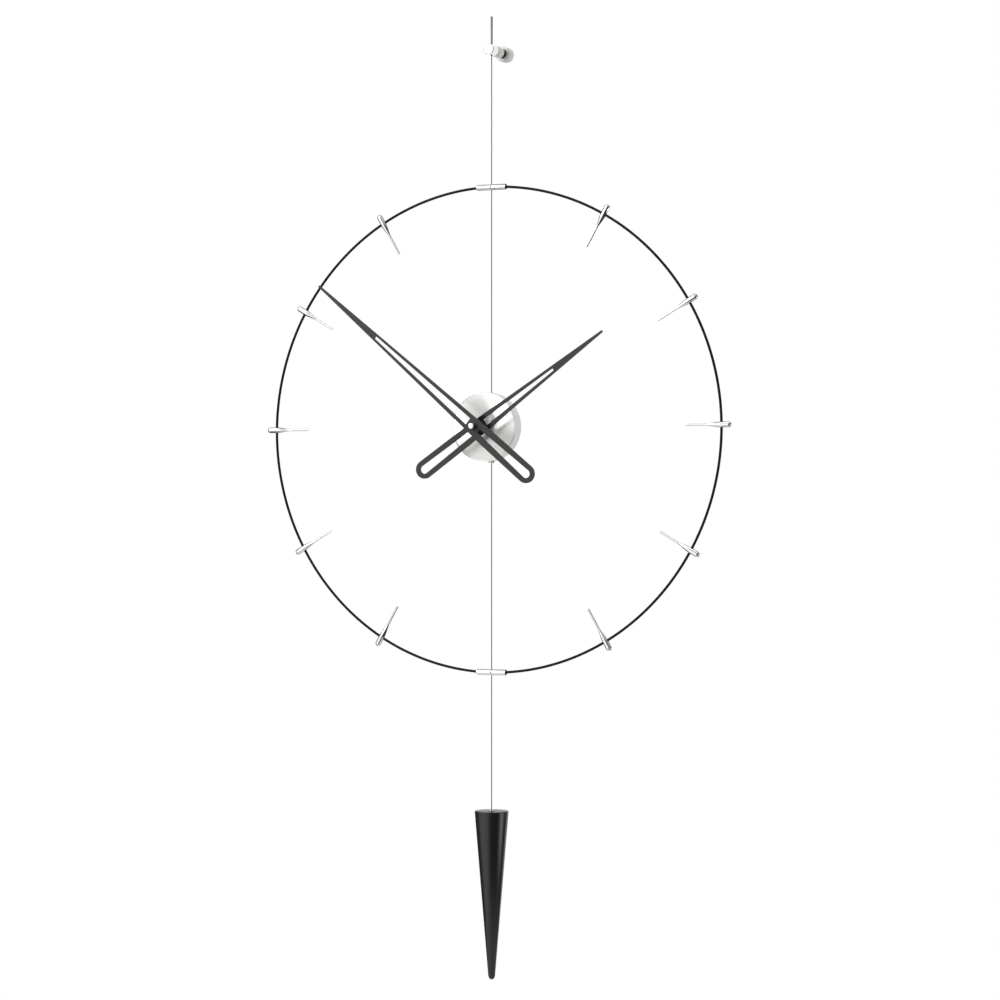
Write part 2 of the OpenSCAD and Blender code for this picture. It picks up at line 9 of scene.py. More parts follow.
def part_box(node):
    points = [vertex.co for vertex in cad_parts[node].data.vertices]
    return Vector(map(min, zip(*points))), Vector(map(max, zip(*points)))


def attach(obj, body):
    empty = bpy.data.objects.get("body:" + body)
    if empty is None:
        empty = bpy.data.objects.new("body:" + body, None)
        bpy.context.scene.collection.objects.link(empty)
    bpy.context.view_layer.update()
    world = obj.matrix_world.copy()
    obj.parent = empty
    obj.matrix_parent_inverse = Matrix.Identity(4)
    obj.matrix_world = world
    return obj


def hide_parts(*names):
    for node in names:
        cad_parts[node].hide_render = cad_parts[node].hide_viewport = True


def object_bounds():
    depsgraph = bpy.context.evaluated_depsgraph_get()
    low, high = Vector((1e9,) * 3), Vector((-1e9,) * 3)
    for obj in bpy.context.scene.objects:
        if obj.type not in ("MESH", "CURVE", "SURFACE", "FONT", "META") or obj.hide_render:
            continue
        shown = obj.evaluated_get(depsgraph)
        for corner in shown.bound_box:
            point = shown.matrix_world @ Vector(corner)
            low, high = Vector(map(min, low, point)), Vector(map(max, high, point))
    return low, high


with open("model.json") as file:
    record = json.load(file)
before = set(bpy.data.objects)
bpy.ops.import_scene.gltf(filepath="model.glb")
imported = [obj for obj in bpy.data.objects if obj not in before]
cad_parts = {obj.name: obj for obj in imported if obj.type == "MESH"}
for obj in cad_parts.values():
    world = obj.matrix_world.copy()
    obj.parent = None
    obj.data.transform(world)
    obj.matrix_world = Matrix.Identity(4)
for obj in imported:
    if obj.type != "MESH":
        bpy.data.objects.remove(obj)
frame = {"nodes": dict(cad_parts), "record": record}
cad_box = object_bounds()


# ------------------------------------------------------------------------------ the studio
# A white product studio: a large soft box in front on the left, a weaker one on the right,
# strips above, a low box that rims the plumb weight, and a pale floor under it. The air behind
# the clock is white to the eye. The metal sees a bright window side, a pale wall and ceiling,
# and a dark room on the right.

view_from = Vector((1.7612, -4.0485, -0.7040))
view_turn = radians(23.65)

eye = bpy.data.cameras.new("eye")
eye.lens = 102.96
eye.sensor_width = 36.0
eye.shift_x = -0.0004
eye.shift_y = 0.0117
eye_stand = bpy.data.objects.new("eye", eye)
eye_stand.location = view_from
eye_stand.rotation_euler = (pi / 2, 0, view_turn)
bpy.context.collection.objects.link(eye_stand)
bpy.context.scene.camera = eye_stand
bpy.context.scene.view_settings.view_transform = "Standard"
bpy.context.scene.view_settings.look = "None"

dial_middle = Vector((0, -0.06, -0.62))


def soft_box(name, place, width, height, power, aim=dial_middle):
    lamp = bpy.data.lights.new(name, "AREA")
    lamp.shape = "RECTANGLE"
    lamp.size, lamp.size_y, lamp.energy = width, height, power
    stand = bpy.data.objects.new(name, lamp)
    stand.location = place
    stand.rotation_euler = (aim - Vector(place)).to_track_quat("-Z", "Y").to_euler()
    bpy.context.collection.objects.link(stand)


soft_box("key_box", (-2.2, -3.0, 0.9), 1.6, 1.6, 60)
soft_box("fill_box", (3.4, -2.6, 0.2), 1.2, 2.0, 5)
soft_box("top_strip", (0.2, -1.2, 2.2), 2.2, 0.5, 14)
soft_box("slim_left", (-1.75, -1.65, 1.15), 0.14, 1.1, 4)
soft_box("slim_right", (-1.20, -2.05, 1.25), 0.10, 1.1, 3)
soft_box("rim_right", (3.0, 0.35, -1.62), 1.5, 0.8, 17)

air = bpy.data.worlds.new("studio_air")
bpy.context.scene.world = air
air.use_nodes = True
air_tree = air.node_tree
air_tree.nodes.clear()


class Tone:
    """A socket of a node tree. Arithmetic on it adds the Math nodes that work it out."""

    def __init__(self, tree, socket=None):
        self.tree, self.socket = tree, socket

    def node(self, kind, settings=None, sockets=None, output=0):
        made = self.tree.nodes.new("ShaderNode" + kind)
        for name, value in (settings or {}).items():
            if name == "stops":
                ramp = made.color_ramp
                while len(ramp.elements) < len(value):
                    ramp.elements.new(1.0)
                for element, (position, grey) in zip(ramp.elements, value):
                    element.position = position
                    element.color = (grey, grey, grey, 1.0)
            else:
                setattr(made, name, value)
        for name, value in (sockets or {}).items():
            socket = made.inputs[name]
            if isinstance(value, Tone):
                self.tree.links.new(value.socket, socket)
            elif isinstance(value, tuple) and len(value) == 3 and socket.type == "RGBA":
                socket.default_value = (*value, 1.0)
            else:
                socket.default_value = value
        return Tone(self.tree, made.outputs[output] if made.outputs else None)

    def maths(self, operation, *values):
        return self.node("Math", {"operation": operation}, dict(enumerate(values)))

    def __add__(self, other):
        return self.maths("ADD", self, other)

    def __sub__(self, other):
        return self.maths("SUBTRACT", self, other)

    def __rsub__(self, other):
        return self.maths("SUBTRACT", other, self)

    def __mul__(self, other):
        return self.maths("MULTIPLY", self, other)

    def __truediv__(self, other):
        return self.maths("DIVIDE", self, other)

    def __pow__(self, other):
        return self.maths("POWER", self, other)

    __radd__, __rmul__ = __add__, __mul__


sky = Tone(air_tree)
toward = sky.node("TexCoord", output=0)
across, depth, up = (
    sky.node("SeparateXYZ", sockets={"Vector": toward}, output=k) for k in range(3)
)


def rise(value, low, high):
    """0 below low, 1 above high, with a soft step between them."""
    return value.node(
        "MapRange",
        {"interpolation_type": "SMOOTHSTEP"},
        {"Value": value, 1: low, 2: high, 3: 0.0, 4: 1.0},
    )


window_bearing = radians(35)
window_light, ceiling_light, wall_light, dark_corner = 1.30, 0.55, 1.05, 0.04
window_side = 0.0 - sin(window_bearing) * across - cos(window_bearing) * depth
window_glow = window_light * rise(window_side, 0.62, 0.92)
ceiling_glow = ceiling_light * rise(up, 0.30, 0.75)
wall_glow = wall_light * rise(depth, 0.78, 0.90) * rise(up, -0.70, -0.40)
room = dark_corner + up.maths(
    "MAXIMUM", up.maths("MAXIMUM", window_glow, ceiling_glow), wall_glow
)
seen = sky.node("LightPath", output=0)
glow = seen + (1.0 - seen) * room
backdrop = sky.node("Background", sockets={"Color": (1.0, 1.0, 1.0), "Strength": glow})
sky.node("OutputWorld", sockets={"Surface": backdrop})


# The floor: a disc of matt white paper that glows a little.

floor_level = cad_box[0].z - 0.50
floor_reach = 1.1
floor_sides = 96
floor_turns = [2 * pi * k / floor_sides for k in range(floor_sides)]
floor_sheet = bpy.data.meshes.new("floor")
floor_sheet.from_pydata(
    [(floor_reach * cos(turn), floor_reach * sin(turn), floor_level) for turn in floor_turns],
    [],
    [range(floor_sides)],
)
floor_piece = bpy.data.objects.new("floor", floor_sheet)
bpy.context.collection.objects.link(floor_piece)
paper = bpy.data.materials.new("floor_paper")
paper.use_nodes = True
paper_shader = paper.node_tree.nodes["Principled BSDF"]
paper_shader.inputs["Base Color"].default_value = (0.85, 0.85, 0.85, 1)
paper_shader.inputs["Roughness"].default_value = 0.9
paper_shader.inputs["Emission Color"].default_value = (1, 1, 1, 1)
paper_shader.inputs["Emission Strength"].default_value = 0.12
floor_sheet.materials.append(paper)


# ---------------------------------------------------------------------------- the standoff
# A turned brass standoff, nickel plated: a foot with a tapped M5 hole that turns onto the
# bolt in the wall, a black stud with a collar, a satin body and a polished head that grips
# the cable's pin. Each piece is turned from bar, so its outline is spun about its own axis.


def start_finish(name):
    material = bpy.data.materials.new(name)
    material.use_nodes = True
    material.node_tree.nodes.clear()
    return Tone(material.node_tree), material


def end_finish(material, colour, roughness, metallic=0.0, height=None, relief=0.0, **plain):
    """Closes a finish. height is a Tone from 0 to 1, and relief its depth in metres."""
    start = Tone(material.node_tree)
    sockets = {"Base Color": colour, "Roughness": roughness, "Metallic": metallic}
    if height is not None:
        sockets["Normal"] = start.node("Bump", {}, {"Height": height, "Distance": relief})
    sockets.update({name.replace("_", " "): value for name, value in plain.items()})
    shader = start.node("BsdfPrincipled", {}, sockets)
    start.node("OutputMaterial", {}, {"Surface": shader})
    return material


def place_on(start):
    """The point's own x, y and z, in metres, as three Tones."""
    point = start.node("TexCoord", output=3)
    return point, [
        start.node("SeparateXYZ", sockets={"Vector": point}, output=k) for k in range(3)
    ]


def grain(start, point, size, detail=2.0, roughness=0.5):
    """Cloudy noise whose lumps are size metres across."""
    return start.node(
        "TexNoise",
        {"noise_dimensions": "3D"},
        {"Vector": point, "Scale": 1 / size, "Detail": detail, "Roughness": roughness},
    )


def turning(start, along, pitch):
    """The fine uneven lines that a lathe tool leaves, pitch metres apart."""
    return start.node(
        "TexNoise",
        {"noise_dimensions": "1D"},
        {"W": along, "Scale": 1 / pitch, "Detail": 3.0, "Roughness": 0.6},
    )


def mixed(start, share, first, second):
    return start.node(
        "Mix", {"data_type": "RGBA"}, {0: share, 6: first, 7: second}, output=2
    )


def nickel_finish(name, axis=2, polish=0.10, colour=(0.80, 0.79, 0.765)):
    """Nickel plate over turned brass. axis is the one that the piece was turned about."""
    start, material = start_finish(name)
    point, xyz = place_on(start)
    lines = turning(start, xyz[axis], 0.00022)
    smudge = grain(start, point, 0.021, 4.0)
    haze = grain(start, point, 0.004)
    tint = mixed(start, smudge, colour, tuple(0.90 * c for c in colour))
    rough = polish * (0.55 + 0.9 * smudge) + 0.05 * haze * lines + 0.02
    return end_finish(material, tint, rough, 1.0, lines * 0.7 + haze * 0.3, 1.2e-6)


def rounded(corners):
    """The points of an outline whose corners are (x, y) or (x, y, fillet)."""
    points = []
    for k, corner in enumerate(corners):
        here = Vector(corner[:2])
        fillet = corner[2] if len(corner) > 2 else 0
        if not fillet:
            points.append(tuple(here))
            continue
        before = (Vector(corners[k - 1][:2]) - here).normalized()
        after = (Vector(corners[(k + 1) % len(corners)][:2]) - here).normalized()
        half = before.angle(after) / 2
        reach = fillet / (sin(half) / cos(half))
        centre = here + (before + after).normalized() * (fillet / sin(half))
        first, last = here + before * reach - centre, here + after * reach - centre
        turn = first.angle_signed(last)
        steps = max(2, ceil(abs(turn) / radians(15)))
        for step in range(steps + 1):
            swung = Matrix.Rotation(-turn * step / steps, 2) @ first
            points.append(tuple(centre + swung))
    return points


def turned(name, corners, place, finish, steps=128, thread=None):
    """A piece spun about its own z from the outline corners, (radius, height, fillet)."""
    outline = rounded(corners)
    verts, rings = [], []
    for radius, height in outline:
        if radius < 1e-7:
            rings.append([len(verts)] * steps)
            verts.append((0, 0, height))
            continue
        rings.append(range(len(verts), len(verts) + steps))
        for k in range(steps):
            turn = 2 * pi * k / steps
            cut = thread(radius, height, turn) if thread else 0
            verts.append(((radius - cut) * cos(turn), (radius - cut) * sin(turn), height))
    faces = []
    for one, two in zip(rings, rings[1:] + rings[:1]):
        for k in range(steps):
            n = (k + 1) % steps
            face = [one[k], one[n], two[n], two[k]]
            face = [v for i, v in enumerate(face) if v not in face[:i]]
            if len(face) > 2:
                faces.append(face)
    return made_piece(name, verts, faces, place, finish)


def made_piece(name, verts, faces, place, finish, crease=34):
    mesh = bpy.data.meshes.new(name)
    mesh.from_pydata(verts, [], faces)
    mesh.validate()
    skin = bmesh.new()
    skin.from_mesh(mesh)
    bmesh.ops.recalc_face_normals(skin, faces=skin.faces)
    skin.to_mesh(mesh)
    skin.free()
    mesh.shade_smooth()
    mesh.set_sharp_from_angle(angle=radians(crease))
    mesh.materials.append(finish)
    piece = bpy.data.objects.new(name, mesh)
    piece.matrix_world = place
    bpy.context.collection.objects.link(piece)
    return piece


def stands_for(piece, node, body):
    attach(piece, body)
    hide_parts(node)
    return piece


def off_wall(height):
    """Own z points from the wall into the room, from the wall plane at that height."""
    return Matrix.Translation((0, 0, height)) @ Matrix.Rotation(pi / 2, 4, "X")


def reach(node):
    """A node's near and far distance off the wall, and its radius."""
    low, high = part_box(node)
    return -high.y, -low.y, (high.x - low.x) / 2


# Satin nickel is fine-turned. The foot's front face is blasted instead, which is duller.

start, satin_nickel = start_finish("satin_nickel")
point, xyz = place_on(start)
satin_lines = turning(start, xyz[2], 0.00022)
satin_cloud = grain(start, point, 0.012, 2.0)
satin_grain = grain(start, point, 0.0003, 2.0)
near, foot_far, foot_r = reach("wall_base")
blasted_end = start.node(
    "MapRange", {}, {"Value": xyz[2], 1: foot_far - 0.0004, 2: foot_far - 0.0002, 3: 0.0, 4: 1.0}
) * start.node(
    "MapRange", {}, {"Value": xyz[2], 1: foot_far + 0.0002, 2: foot_far + 0.0004, 3: 1.0, 4: 0.0}
)
end_finish(
    satin_nickel,
    mixed(start, satin_cloud, (0.86, 0.855, 0.84), (0.80, 0.795, 0.78)),
    0.36 + 0.40 * blasted_end + 0.05 * satin_cloud + 0.05 * satin_grain,
    1.0,
    satin_lines * 0.6 + satin_grain * 0.4,
    1.0e-6,
)

bolt_hole = frame["record"]["mounts"][0]["dims"]
hole_r, hole_l = bolt_hole["r_mm"] / 1000, bolt_hole["length_mm"] / 1000
m5_pitch, m5_depth, m5_crest = 0.0008, 0.00022, 0.0001


def tapped(radius, height, turn):
    """The groove of the M5 thread in the foot's hole, which fades at both ends."""
    if abs(radius - hole_r) > 1e-6 or height > hole_l:
        return 0
    wave = abs((height / m5_pitch - turn / (2 * pi)) % 1.0 - 0.5) * 2
    fade = min(1, height / m5_pitch, max(0, hole_l - 0.001 - height) / m5_pitch)
    return m5_depth * wave * fade - m5_crest * fade


body_near, body_far, body_r = reach("standoff_body")
stud_near, stud_far, neck_r = reach("standoff_stud")
stud_r = 0.004
thread_slack = 0.00005
hole_steps = int(hole_l / m5_pitch * 6)
foot = turned(
    "foot_turned",
    [(0, hole_l + 0.0012)]
    + [(hole_r, hole_l * (1 - k / hole_steps)) for k in range(hole_steps)]
    + [
        (hole_r + 0.0001, 0.0006),
        (hole_r + 0.0007, 0),
        (foot_r, near, 0.0005),
        (foot_r, foot_far, 0.0008),
        (stud_r + 0.0004, foot_far),
        (stud_r + thread_slack, foot_far - 0.0004),
        (stud_r + thread_slack, stud_near - 0.0001),
        (0, stud_near - 0.0001),
    ],
    off_wall(0),
    satin_nickel,
    thread=tapped,
)
stands_for(foot, "wall_base", "wall_mount")

start, black_finish = start_finish("black_coat")
point, xyz = place_on(start)
coat_speck = grain(start, point, 0.00035, 3.0)
coat_wear = grain(start, point, 0.018, 3.0)
end_finish(
    black_finish,
    mixed(start, coat_wear, (0.010, 0.010, 0.011), (0.022, 0.022, 0.022)),
    0.36 + 0.10 * coat_speck + 0.06 * coat_wear,
    height=coat_speck,
    relief=6e-6,
    Specular_IOR_Level=0.45,
)


stud_pitch, stud_depth = 0.00125, 0.00035
stud_lead = 0.0008


def stud_thread(radius, height, turn):
    """The groove of the M8 thread on the stud's two ends."""
    if abs(radius - stud_r) > 1e-6:
        return 0
    return stud_depth * abs((height / stud_pitch - turn / (2 * pi)) % 1.0 - 0.5) * 2


def threaded(low, high):
    """The outline of a threaded end of the stud, with points close enough for the thread."""
    steps = int((high - low) / 0.0002)
    return [(stud_r, low + (high - low) * k / steps) for k in range(steps + 1)]


stud = turned(
    "stud_cut",
    [(0, stud_near), (stud_r - 0.0006, stud_near)]
    + threaded(stud_near + stud_lead, foot_far)
    + [
        (neck_r, foot_far + thread_slack, 0.0004),
        (neck_r, body_near - thread_slack, 0.0004),
    ]
    + threaded(body_near, stud_far - stud_lead)
    + [(stud_r - 0.0006, stud_far), (0, stud_far)],
    off_wall(0),
    black_finish,
    steps=96,
    thread=stud_thread,
)
stands_for(stud, "standoff_stud", "wall_mount")

body = turned(
    "body_turned",
    [
        (0, stud_far + 0.0001),
        (stud_r + thread_slack, stud_far + 0.0001),
        (stud_r + thread_slack, body_near + 0.0004),
        (stud_r + 0.0005, body_near),
        (body_r, body_near, 0.0007),
        (body_r, body_far, 0.0003),
        (0, body_far),
    ],
    off_wall(0),
    satin_nickel,
)
stands_for(body, "standoff_body", "wall_mount")


# A CAD node that keeps its shape gets its finish, and a fine chamfer where metal or plastic
# would have one.


def finish_node(node, finish, chamfer=0.0):
    piece = frame["nodes"][node]
    piece.data.materials.clear()
    piece.data.materials.append(finish)
    if chamfer:
        edge = piece.modifiers.new("chamfer", "BEVEL")
        edge.width, edge.segments, edge.limit_method = chamfer, 2, "ANGLE"
        edge.angle_limit = radians(40)
        edge.harden_normals = True
    return piece


start, steel_finish = start_finish("plain_steel")
point, xyz = place_on(start)
steel_cloud = grain(start, point, 0.003, 4.0)
end_finish(
    steel_finish,
    mixed(start, steel_cloud, (0.50, 0.50, 0.49), (0.36, 0.36, 0.355)),
    0.26 + 0.2 * steel_cloud,
    1.0,
    steel_cloud,
    3e-6,
)
finish_node("head_grub_screw", steel_finish)
head_nickel = nickel_finish("head_nickel", axis=1, polish=0.07)
finish_node("standoff_head", head_nickel, 0.0003)


# --------------------------------------------------------------------------------- the cable
# One stranded steel cable, 1.5 mm across, of six strands twisted round a core. Its top end is
# swaged in a steel pin, and its lower end is crimped in the plumb weight's collar. It is
# drawn in three stretches, so that it bends where it leaves the standoff and the ring.

start, pin_finish = start_finish("pin_steel")
point, xyz = place_on(start)
draw_lines = grain(start, point, 0.0012, 4.0)
end_finish(
    pin_finish,
    mixed(start, draw_lines, (0.19, 0.185, 0.18), (0.12, 0.12, 0.115)),
    0.24 + 0.18 * draw_lines,
    1.0,
    draw_lines,
    4e-6,
)

pin_low, pin_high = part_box("cable_pin")
pin_r = (pin_high.x - pin_low.x) / 2
cable_y = (pin_low.y + pin_high.y) / 2
swage_rings, swage_pitch, swage_depth = 7, 0.0009, 0.00018
pin = turned(
    "pin_drawn",
    [(0, pin_low.z), (pin_r - 0.0002, pin_low.z, 0.0001), (pin_r, pin_low.z + 0.0005)]
    + [
        (
            pin_r - (swage_depth if k % 2 else 0),
            pin_low.z + 0.0008 + swage_pitch * k,
            0.0001,
        )
        for k in range(1, swage_rings + 1)
    ]
    + [(pin_r, pin_high.z, 0.0009), (0, pin_high.z)],
    Matrix.Translation((0, cable_y, 0)),
    pin_finish,
    steps=48,
)
stands_for(pin, "cable_pin", "wall_mount")

start, cable_finish = start_finish("cable_steel")
point, xyz = place_on(start)
wire_grain = grain(start, point, 0.0006, 2.0)
cable_cloud = grain(start, point, 0.05, 2.0)
end_finish(
    cable_finish,
    mixed(start, wire_grain, (0.105, 0.105, 0.103), (0.062, 0.062, 0.060)),
    0.46 + 0.16 * wire_grain + 0.05 * cable_cloud,
    1.0,
    wire_grain,
    1.2e-5,
)

strands, points_per_strand = 6, 4
lay = 0.0078
ring_step = 0.0006
groove_share = 0.13


def cable_stretch(node, body):
    """A stretch of cable from its node's top to its bottom, as one twisted skin."""
    low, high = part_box(node)
    radius = (high.x - low.x) / 2
    rings = ceil((high.z - low.z) / ring_step)
    sides = strands * points_per_strand
    verts = []
    for ring in range(rings + 1):
        height = high.z + (low.z - high.z) * ring / rings
        twist = 2 * pi * (high.z - height) / lay
        for k in range(sides):
            turn = 2 * pi * k / sides
            bulge = abs(cos(turn * strands / 2))
            r = radius * (1 - groove_share + groove_share * bulge)
            verts.append((r * cos(turn + twist), r * sin(turn + twist), height))
    faces = [
        [a + k, a + (k + 1) % sides, b + (k + 1) % sides, b + k]
        for ring in range(rings)
        for a, b in [(ring * sides, (ring + 1) * sides)]
        for k in range(sides)
    ]
    faces += [list(range(sides))[::-1], [rings * sides + k for k in range(sides)]]
    piece = made_piece(
        node + "_strands",
        verts,
        faces,
        Matrix.Translation((0, cable_y, 0)),
        cable_finish,
        crease=60,
    )
    stands_for(piece, node, body)
    return piece


cable_stretch("cable_upper", "hanging_cable")
cable_stretch("cable_middle", "dial")
cable_stretch("cable_lower", "plumb_weight")


# ------------------------------------------------------------------------------ the ring dial
# Two half rings of 4 mm steel rod, bent and coated black, meet in a straight nickel sleeve
# at 12 and at 6. The cable runs through both sleeves, and a grub screw in each clamps it.
# The sleeves' end faces are painted black like the rod, as painted shade for the dark bore where
# the rod enters.

start, rod_finish = start_finish("ring_black")
point, xyz = place_on(start)
rod_speck = grain(start, point, 0.0005, 3.0)
rod_cloud = grain(start, point, 0.06, 2.0)
end_finish(
    rod_finish,
    mixed(start, rod_cloud, (0.003, 0.003, 0.003), (0.006, 0.006, 0.006)),
    0.42 + 0.12 * rod_speck + 0.05 * rod_cloud,
    height=rod_speck,
    relief=8e-6,
    Specular_IOR_Level=0.14,
)

left_low, left_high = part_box("ring_rod_left")
rod_r = (left_high.y - left_low.y) / 2
ring_y = (left_high.y + left_low.y) / 2
ring_r = (left_high.z - left_low.z) / 2 - rod_r
ring_z = (left_high.z + left_low.z) / 2
rod_gap = -left_high.x


def half_ring(node, side):
    """Half a ring of rod, swept round the dial, with its two cut ends chamfered."""
    first = rod_gap / ring_r
    steps, sides = 260, 28
    chamfer_turn, end_swell = 0.0012, 0.75
    stations = [(first, end_swell), (first + chamfer_turn, 1.0)]
    stations += [(first + (pi - 2 * first) * k / steps, 1.0) for k in range(1, steps)]
    stations += [(pi - first - chamfer_turn, 1.0), (pi - first, end_swell)]
    verts = []
    for turn, swell in stations:
        for k in range(sides):
            a = 2 * pi * k / sides
            r = ring_r + rod_r * swell * cos(a)
            verts.append((side * r * sin(turn), rod_r * swell * sin(a), r * cos(turn)))
    faces = [
        [a + k, a + (k + 1) % sides, b + (k + 1) % sides, b + k][:: side]
        for n in range(len(stations) - 1)
        for a, b in [(n * sides, (n + 1) * sides)]
        for k in range(sides)
    ]
    last = (len(stations) - 1) * sides
    faces += [list(range(sides))[:: -side], [last + k for k in range(sides)][:: side]]
    piece = made_piece(
        node + "_bent", verts, faces, Matrix.Translation((0, ring_y, ring_z)), rod_finish
    )
    return stands_for(piece, node, "dial")


half_ring("ring_rod_left", -1)
half_ring("ring_rod_right", 1)

start, sleeve_finish = start_finish("sleeve_nickel")
point, xyz = place_on(start)
sleeve_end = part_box("top_sleeve")[1].x
# Painted shade: on the sleeves' end faces the colour is painted black and the metal made dull,
# for the shade in the bore where the rod enters.
painted_shade_end = start.node(
    "MapRange",
    {},
    {
        "Value": xyz[0].maths("ABSOLUTE", xyz[0]),
        1: sleeve_end - 0.00035,
        2: sleeve_end - 0.00025,
        3: 0.0,
        4: 1.0,
    },
)
sleeve_lines = turning(start, xyz[0], 0.00022)
sleeve_smudge = grain(start, point, 0.021, 4.0)
end_finish(
    sleeve_finish,
    mixed(
        start,
        painted_shade_end,
        mixed(start, sleeve_smudge, (0.80, 0.79, 0.765), (0.72, 0.71, 0.69)),
        (0.012, 0.012, 0.012),
    ),
    0.05 + 0.07 * sleeve_smudge + 0.45 * painted_shade_end,
    1.0 - painted_shade_end,
    sleeve_lines,
    1.2e-6,
)
for sleeve in ("top_sleeve", "bottom_sleeve"):
    finish_node(sleeve, sleeve_finish, 0.00012)
finish_node("cable_screws", steel_finish)


# --------------------------------------------------------------------------- the hour markers
# Ten solid brass drops, turned with a needle that points at the hands' axis, polished and
# nickel plated. Each is cross-drilled and threaded on the rod. The sleeves take the place of
# 12 and 6.

three_low, three_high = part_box("hour_marker_3")
axis_z = (three_low.z + three_high.z) / 2
axis_rise = axis_z - ring_z


def axis_to_rod(turn):
    """The distance from the hands' axis out to the rod, in a direction turned from 12."""
    return (ring_r**2 - (axis_rise * sin(turn)) ** 2) ** 0.5 - axis_rise * cos(turn)


drop_out = three_high.x - axis_to_rod(pi / 2)
needle_in = axis_to_rod(pi / 2) - three_low.x
drop_r = (three_high.z - three_low.z) / 2
needle_r = 0.0017
flare_l = 0.025
cheek = drop_out - drop_r
needle_chamfer = 0.00035
drop_outline = [(0, -needle_in), (needle_r - needle_chamfer, -needle_in, 0.0002)]
drop_outline += [(needle_r, -needle_in + needle_chamfer)]
flare_steps, nose_steps = 40, 24
for k in range(flare_steps + 1):
    s = -flare_l + flare_l * k / flare_steps
    swell = (1 - cos(pi * (s + flare_l) / flare_l)) / 2
    drop_outline.append((needle_r + (drop_r - needle_r) * swell, s))
for k in range(1, nose_steps):
    a = pi / 2 * k / nose_steps
    drop_outline.append((drop_r * cos(a), cheek + drop_r * sin(a)))
drop_outline.append((0, drop_out))

marker_nickel = nickel_finish("marker_nickel", polish=0.06, colour=(0.80, 0.79, 0.77))
for hour in (1, 2, 3, 4, 5, 7, 8, 9, 10, 11):
    hour_turn = radians(30 * hour)
    around = Matrix.Translation((0, ring_y, axis_z)) @ Matrix.Rotation(hour_turn, 4, "Y")
    drop = turned(
        f"hour_drop_{hour}",
        drop_outline,
        around @ Matrix.Translation((0, 0, axis_to_rod(hour_turn))),
        marker_nickel,
        steps=64,
    )
    stands_for(drop, f"hour_marker_{hour}", "dial")


# -------------------------------------------------------------------------------- the case
# The face is a steel disc, spun on a lathe so that its fine grooves run round the centre. It
# sits in a rolled steel band, and a deep-drawn rear shell closes the case. The shell's cup
# holds the cable between two nickel collars.

plate_near, plate_far, plate_r = reach("face_plate")
plate_z = (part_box("face_plate")[0].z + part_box("face_plate")[1].z) / 2
hub_hole = 0.0042

start, face_finish = start_finish("spun_face")
point, xyz = place_on(start)
from_axis = (xyz[0] ** 2.0 + xyz[1] ** 2.0) ** 0.5
grooves = turning(start, from_axis, 0.00035)
bands = turning(start, from_axis, 0.006)
face_cloud = grain(start, point, 0.03, 3.0)
end_finish(
    face_finish,
    mixed(start, bands * 0.6 + face_cloud * 0.4, (0.90, 0.895, 0.875), (0.80, 0.795, 0.775)),
    0.29 + 0.10 * grooves + 0.05 * face_cloud,
    1.0,
    grooves,
    2.5e-6,
    Anisotropic=0.95,
)
plate = turned(
    "face_spun",
    [
        (hub_hole, plate_near),
        (plate_r, plate_near, 0.0002),
        (plate_r, plate_far, 0.0004),
        (hub_hole, plate_far, 0.0002),
    ][::-1],
    off_wall(plate_z),
    face_finish,
    steps=192,
)
stands_for(plate, "face_plate", "dial")

start, band_finish = start_finish("case_steel")
point, xyz = place_on(start)
band_lines = turning(start, xyz[1], 0.0003)
band_cloud = grain(start, point, 0.02, 3.0)
end_finish(
    band_finish,
    mixed(start, band_cloud, (0.84, 0.835, 0.82), (0.72, 0.715, 0.70)),
    0.27 + 0.12 * band_lines + 0.06 * band_cloud,
    1.0,
    band_lines,
    3e-6,
)
for shell in ("front_shell", "rear_shell"):
    finish_node(shell, band_finish)

collar_nickel = nickel_finish("collar_nickel", axis=2, polish=0.12)
for collar in ("cable_collar_top", "cable_collar_bottom"):
    finish_node(collar, collar_nickel, 0.00015)

start, lid_finish = start_finish("black_moulding")
point, xyz = place_on(start)
mould_grain = grain(start, point, 0.0006, 4.0, 0.6)
mould_cloud = grain(start, point, 0.025, 3.0)
end_finish(
    lid_finish,
    mixed(start, mould_cloud, (0.022, 0.022, 0.023), (0.035, 0.035, 0.036)),
    0.48 + 0.16 * mould_grain + 0.05 * mould_cloud,
    height=mould_grain,
    relief=2.5e-5,
)
for node in ("rear_lid", "movement_case", "movement_cover", "setting_knob"):
    finish_node(node, lid_finish)


# ------------------------------------------------------------------------------- the movement
# A boxed quartz movement, 56 mm square: a moulded housing, acetal wheels on thin arbors, a
# coil of enamelled wire, a green board with its crystal, and one cell in a bay at the bottom.

start, acetal_finish = start_finish("acetal")
point, xyz = place_on(start)
acetal_cloud = grain(start, point, 0.004, 3.0)
end_finish(
    acetal_finish,
    mixed(start, acetal_cloud, (0.82, 0.81, 0.76), (0.72, 0.71, 0.66)),
    0.30 + 0.12 * acetal_cloud,
    height=acetal_cloud,
    relief=8e-6,
    Subsurface_Weight=0.1,
    Subsurface_Radius=(0.001, 0.001, 0.0008),
)
for node in (
    "coil_bobbin", "intermediate_wheel", "seconds_wheel", "third_wheel",
    "centre_wheel", "minute_wheel", "hour_wheel",
):
    finish_node(node, acetal_finish)

# The rotor is a dark sintered magnet with a pale acetal pinion moulded on.

